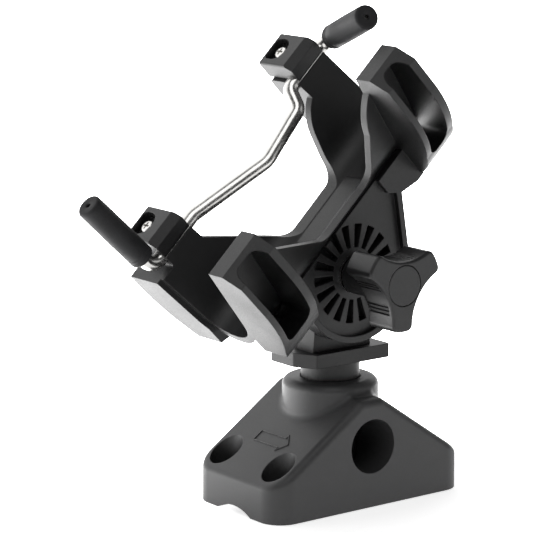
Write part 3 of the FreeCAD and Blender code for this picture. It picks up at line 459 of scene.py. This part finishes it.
class HOLDER_OT_base(bpy.types.Operator):
    """Finish the screw-down base in moulded nylon"""
    bl_idname = "holder.base"
    bl_label = "Base"

    def execute(self, context):
        nylon = moulded_nylon("base_nylon", context.scene.holder_finish.base_tone, 0.45)
        coat(NODES["base"], nylon)
        return {"FINISHED"}


class HOLDER_OT_arrow(bpy.types.Operator):
    """Make the raised arrow on the base's slope, with no lettering"""
    bl_idname = "holder.arrow"
    bl_label = "Direction arrow"

    def execute(self, context):
        trim = context.scene.holder_trim
        half = trim.arrow_width / 2
        barb = half * BARB_SHARE
        tip = trim.arrow_length / 2
        neck = tip - barb * BARB_LENGTH
        outer = [(-tip, -half), (neck, -half), (neck, -barb), (tip, 0.0), (neck, barb), (neck, half),
                 (-tip, half)]
        mesh = raised_line("direction_arrow", outer, trim.arrow_line, trim.arrow_height, self.place())
        nylon = moulded_nylon("arrow_nylon", context.scene.holder_finish.base_tone, 0.45)
        add_piece("direction_arrow", mesh, nylon, "mount")
        return {"FINISHED"}

    def place(self):
        """A spot on the left slope, halfway between the screw wells and the boss."""
        trim = bpy.context.scene.holder_trim
        low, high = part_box("base")
        foot = Vector((low.x, 0.0, trim.slope_foot))
        ridge = Vector((-trim.ridge_half, 0.0, trim.ridge_height))
        along = Vector((0.0, -1.0, 0.0))
        up = (ridge - foot).normalized()
        out = along.cross(up)
        spot = foot + (ridge - foot) * trim.arrow_place + Vector((0.0, trim.arrow_side, 0.0))
        turn = Matrix((along, up, out)).transposed().to_4x4()
        return Matrix.Translation(spot) @ turn


class HOLDER_OT_post(bpy.types.Operator):
    """Finish the swivel post and the pieces on the tilt axis"""
    bl_idname = "holder.post"
    bl_label = "Post and pivot"

    def execute(self, context):
        finish = context.scene.holder_finish
        coat(NODES["post"], moulded_nylon("post_nylon", finish.post_tone, 0.47))
        coat(NODES["slip_disc"], plain_polymer("slip_disc_polymer", finish.disc_tone))
        steel = drawn_steel("pivot_steel", finish.bolt_tone)
        for node in ("pivot_bolt", "thrust_washer", "spring_washer", "knob_nut"):
            coat(NODES[node], steel)
        return {"FINISHED"}


class HOLDER_OT_cradle(bpy.types.Operator):
    """Finish the open cradle and the two caps that hold the bail"""
    bl_idname = "holder.cradle"
    bl_label = "Cradle and caps"

    def execute(self, context):
        finish = context.scene.holder_finish
        nylon = moulded_nylon("cradle_nylon", finish.cradle_tone)
        steel = drawn_steel("screw_steel", finish.steel_tone)
        brass = turned_brass("insert_brass", finish.brass_tone)
        coat(NODES["cradle"], nylon)
        for end in ("back", "front"):
            coat(NODES[end + "_bail_cap"], nylon)
            coat(NODES[end + "_cap_screw"], steel)
            coat(NODES[end + "_cap_insert"], brass)
        return {"FINISHED"}


class HOLDER_OT_knob(bpy.types.Operator):
    """Finish the clamp knob and its cap"""
    bl_idname = "holder.knob"
    bl_label = "Clamp knob"

    def execute(self, context):
        nylon = moulded_nylon("knob_nylon", context.scene.holder_finish.knob_tone, 0.4)
        for node in ("knob", "knob_cap"):
            coat(NODES[node], nylon)
        return {"FINISHED"}


class HOLDER_OT_bail(bpy.types.Operator):
    """Finish the bail wire and make its two rubber grips"""
    bl_idname = "holder.bail"
    bl_label = "Bail and grips"

    def execute(self, context):
        finish = context.scene.holder_finish
        coat(NODES["bail_rod"], drawn_steel("bail_steel", finish.steel_tone))
        rubber = moulded_rubber("grip_rubber", finish.rubber_tone)
        for end in ("back", "front"):
            node = end + "_grip"
            piece = add_piece(end + "_grip_sleeve", self.sleeve(node), rubber, "bail")
            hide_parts(node)
        return {"FINISHED"}

    def sleeve(self, node):
        """A rubber sleeve with a rolled mouth, shallow bands and a domed end with a vent hole."""
        trim = bpy.context.scene.holder_trim
        low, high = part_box("cradle")
        centre = (low + high) / 2
        start, end = long_axis(node)
        if (end - centre).length < (start - centre).length:
            start, end = end, start
        axis = (end - start).normalized()
        place = Matrix.Translation(start) @ axis.to_track_quat("Z", "Y").to_matrix().to_4x4()
        length = (end - start).length
        radius = grip_radius(node, start, axis)
        wire = radius * WIRE_SHARE
        vent = radius * VENT_SHARE
        dome = radius * DOME_SHARE
        outline = [(wire, length * BORE_SHARE), (wire, MOUTH_SETBACK)]
        outline += arc(wire + MOUTH_INNER, MOUTH_INNER, MOUTH_INNER, 180, 270, 3)
        outline += arc(radius - MOUTH_OUTER, MOUTH_OUTER, MOUTH_OUTER, -90, 0, 5)
        bands = int(trim.grip_bands)
        for band in range(bands):
            height = BAND_START + BAND_PITCH * band
            outline += [(radius, height - BAND_HALF), (radius - trim.band_depth, height - BAND_FLOOR_HALF),
                        (radius - trim.band_depth, height + BAND_FLOOR_HALF), (radius, height + BAND_HALF)]
        for step in range(1, SIDE_STEPS):
            share = step / SIDE_STEPS
            swell = SIDE_SWELL * math.sin(math.pi * share) - SIDE_SWELL * share
            outline.append((radius + swell, SIDE_START + (length - SIDE_END_GAP) * share))
        outline += arc(radius - dome - SIDE_SWELL, length - dome, dome, 0, 90, 7)
        outline += [(vent + VENT_CHAMFER, length), (vent + VENT_LIP, length - VENT_LIP_DEPTH),
                    (vent, length - VENT_FLOOR_DEPTH), (vent, length * BORE_SHARE)]
        return lathe(node + "_sleeve", outline, place, SLEEVE_STEPS)


def grip_radius(node, start, axis):
    """The outer radius of a round CAD node about its axis."""
    best = 0.0
    for vertex in NODES[node].data.vertices:
        away = vertex.co - start
        best = max(best, (away - axis * away.dot(axis)).length)
    return best


class HOLDER_OT_ring(bpy.types.Operator):
    """Make the rubber ring in the post's groove"""
    bl_idname = "holder.ring"
    bl_label = "Post ring"

    def execute(self, context):
        rubber = moulded_rubber("ring_rubber", context.scene.holder_finish.rubber_tone)
        low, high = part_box("post_ring")
        middle = (low + high) / 2
        outer = (high.x - low.x) / 2
        half = (high.z - low.z) / 2
        outline = arc(outer - half, 0.0, half, *RING_ARC)
        mesh = lathe("post_ring_seal", outline, Matrix.Translation(middle), RING_STEPS)
        piece = add_piece("post_ring_seal", mesh, rubber, "ring")
        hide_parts("post_ring")
        return {"FINISHED"}


class HOLDER_OT_stage(bpy.types.Operator):
    """Set up the pale floor, the soft lights and the camera"""
    bl_idname = "holder.stage"
    bl_label = "Studio"

    def execute(self, context):
        scene = context.scene
        stage = scene.holder_stage
        self.floor(stage)
        self.room(scene, stage)
        self.lights(stage)
        self.camera(scene, stage)
        scene.view_settings.view_transform = "Standard"
        return {"FINISHED"}

    def floor(self, stage):
        """A wide pale sheet under the base that glows as a painted light, faintly in front and strongly
        behind the holder.
        """
        made = Surface("glowing_floor_paper")
        tooth = made.noise(0.0012, 4.0)
        tone = made.blend(made.spread(tooth, 0.0, 1.0), shade(stage.floor_tone, 0.985),
                          shade(stage.floor_tone, 1.0))
        made.finish(tone, made.spread(tooth, 0.75, 0.85), made.bump(tooth, 0.00002, 0.3), specular=0.2)
        # The floor glows as a painted light: weak in front, strong behind the holder.
        made.feed(made.shader.inputs["Emission Color"], tone)
        across = made.add("ShaderNodeSeparateXYZ", Vector=made.place).outputs["Y"]
        glow = made.spread(across, stage.floor_near, stage.floor_glow, stage.floor_start, stage.floor_end)
        made.feed(made.shader.inputs["Emission Strength"], glow)
        shape = bmesh.new()
        bmesh.ops.create_grid(shape, x_segments=FLOOR_CELLS, y_segments=FLOOR_CELLS, size=FLOOR_HALF)
        bmesh.ops.translate(shape, verts=shape.verts, vec=(0.0, 0.0, CAD_BOX[0][2] - FLOOR_GAP))
        mesh = bpy.data.meshes.new("studio_floor")
        shape.to_mesh(mesh)
        shape.free()
        floor = bpy.data.objects.new("studio_floor", mesh)
        bpy.context.scene.collection.objects.link(floor)
        coat(floor, made.material)

    def room(self, scene, stage):
        """A room that is white behind the holder and dim in front of it."""
        world = bpy.data.worlds.new("studio")
        world.use_nodes = True
        nodes = world.node_tree.nodes
        links = world.node_tree.links
        lit = nodes["Background"]
        lit.inputs["Color"].default_value = (1.0, 1.0, 1.0, 1.0)
        place = nodes.new("ShaderNodeTexCoord")
        parts = nodes.new("ShaderNodeSeparateXYZ")
        sweep = nodes.new("ShaderNodeMapRange")
        sweep.interpolation_type = "SMOOTHSTEP"
        limits = (("From Min", stage.sweep_start), ("From Max", stage.sweep_end),
                  ("To Min", stage.front_light), ("To Max", stage.back_light))
        for name, number in limits:
            sweep.inputs[name].default_value = number
        white = nodes.new("ShaderNodeBackground")
        white.inputs["Color"].default_value = (1.0, 1.0, 1.0, 1.0)
        path = nodes.new("ShaderNodeLightPath")
        mix = nodes.new("ShaderNodeMixShader")
        links.new(place.outputs["Generated"], parts.inputs["Vector"])
        links.new(parts.outputs["Y"], sweep.inputs["Value"])
        links.new(sweep.outputs["Result"], lit.inputs["Strength"])
        links.new(path.outputs["Is Camera Ray"], mix.inputs[0])
        links.new(lit.outputs["Background"], mix.inputs[1])
        links.new(white.outputs["Background"], mix.inputs[2])
        links.new(mix.outputs["Shader"], nodes["World Output"].inputs["Surface"])
        scene.world = world

    def lights(self, stage):
        """Soft boxes: on the knob side, low on the left, and overhead."""
        middle = Vector(stage.target)
        boxes = (("key_box", KEY_PLACE, KEY_SIZE, stage.key_light),
                 ("rim_box", RIM_PLACE, RIM_SIZE, stage.rim_light),
                 ("top_box", TOP_PLACE, TOP_SIZE, stage.top_light))
        for name, offset, size, power in boxes:
            light = bpy.data.lights.new(name, "AREA")
            light.shape = "SQUARE"
            light.size = size
            light.energy = power
            lamp = bpy.data.objects.new(name, light)
            bpy.context.scene.collection.objects.link(lamp)
            lamp.location = middle + Vector(offset)
            lamp.rotation_euler = (-Vector(offset)).to_track_quat("-Z", "Y").to_euler()

    def camera(self, scene, stage):
        """A long lens, a little above the deck."""
        data = bpy.data.cameras.new("studio_camera")
        data.lens = stage.lens
        data.sensor_width = CAMERA_SENSOR
        data.clip_start = CAMERA_NEAR
        camera = bpy.data.objects.new("studio_camera", data)
        scene.collection.objects.link(camera)
        flat = math.cos(stage.elevation)
        away = Vector((math.sin(stage.azimuth) * flat, -math.cos(stage.azimuth) * flat,
                       math.sin(stage.elevation)))
        camera.location = Vector(stage.target) + away * stage.distance
        camera.rotation_euler = away.to_track_quat("Z", "Y").to_euler()
        scene.camera = camera


class HOLDER_PT_panel(bpy.types.Panel):
    """The holder's steps, in order"""
    bl_idname = "HOLDER_PT_panel"
    bl_label = "Rod Holder"
    bl_space_type = "VIEW_3D"
    bl_region_type = "UI"
    bl_category = "Rod Holder"

    def draw(self, context):
        for operator in OPERATORS:
            self.layout.operator(operator.bl_idname)
        for group in ("holder_finish", "holder_trim", "holder_stage"):
            settings = getattr(context.scene, group)
            box = self.layout.box()
            for name in settings.bl_rna.properties.keys():
                if name not in ("rna_type", "name"):
                    box.prop(settings, name)


GROUPS = (("holder_finish", HolderFinish), ("holder_trim", HolderTrim), ("holder_stage", HolderStage))
OPERATORS = (HOLDER_OT_base, HOLDER_OT_arrow, HOLDER_OT_post, HOLDER_OT_ring, HOLDER_OT_cradle,
             HOLDER_OT_knob, HOLDER_OT_bail, HOLDER_OT_stage)


def register():
    """Add the settings, the operators and the panel."""
    for name, group in GROUPS:
        bpy.utils.register_class(group)
        setattr(bpy.types.Scene, name, PointerProperty(type=group))
    for made in OPERATORS + (HOLDER_PT_panel,):
        bpy.utils.register_class(made)


def unregister():
    """Take the settings, the operators and the panel away."""
    for made in reversed(OPERATORS + (HOLDER_PT_panel,)):
        bpy.utils.unregister_class(made)
    for name, group in reversed(GROUPS):
        delattr(bpy.types.Scene, name)
        bpy.utils.unregister_class(group)


def main():
    """Add the settings, then run every step in order."""
    register()
    for operator in OPERATORS:
        group, name = operator.bl_idname.split(".")
        getattr(getattr(bpy.ops, group), name)()


if __name__ == "__main__":
    main()
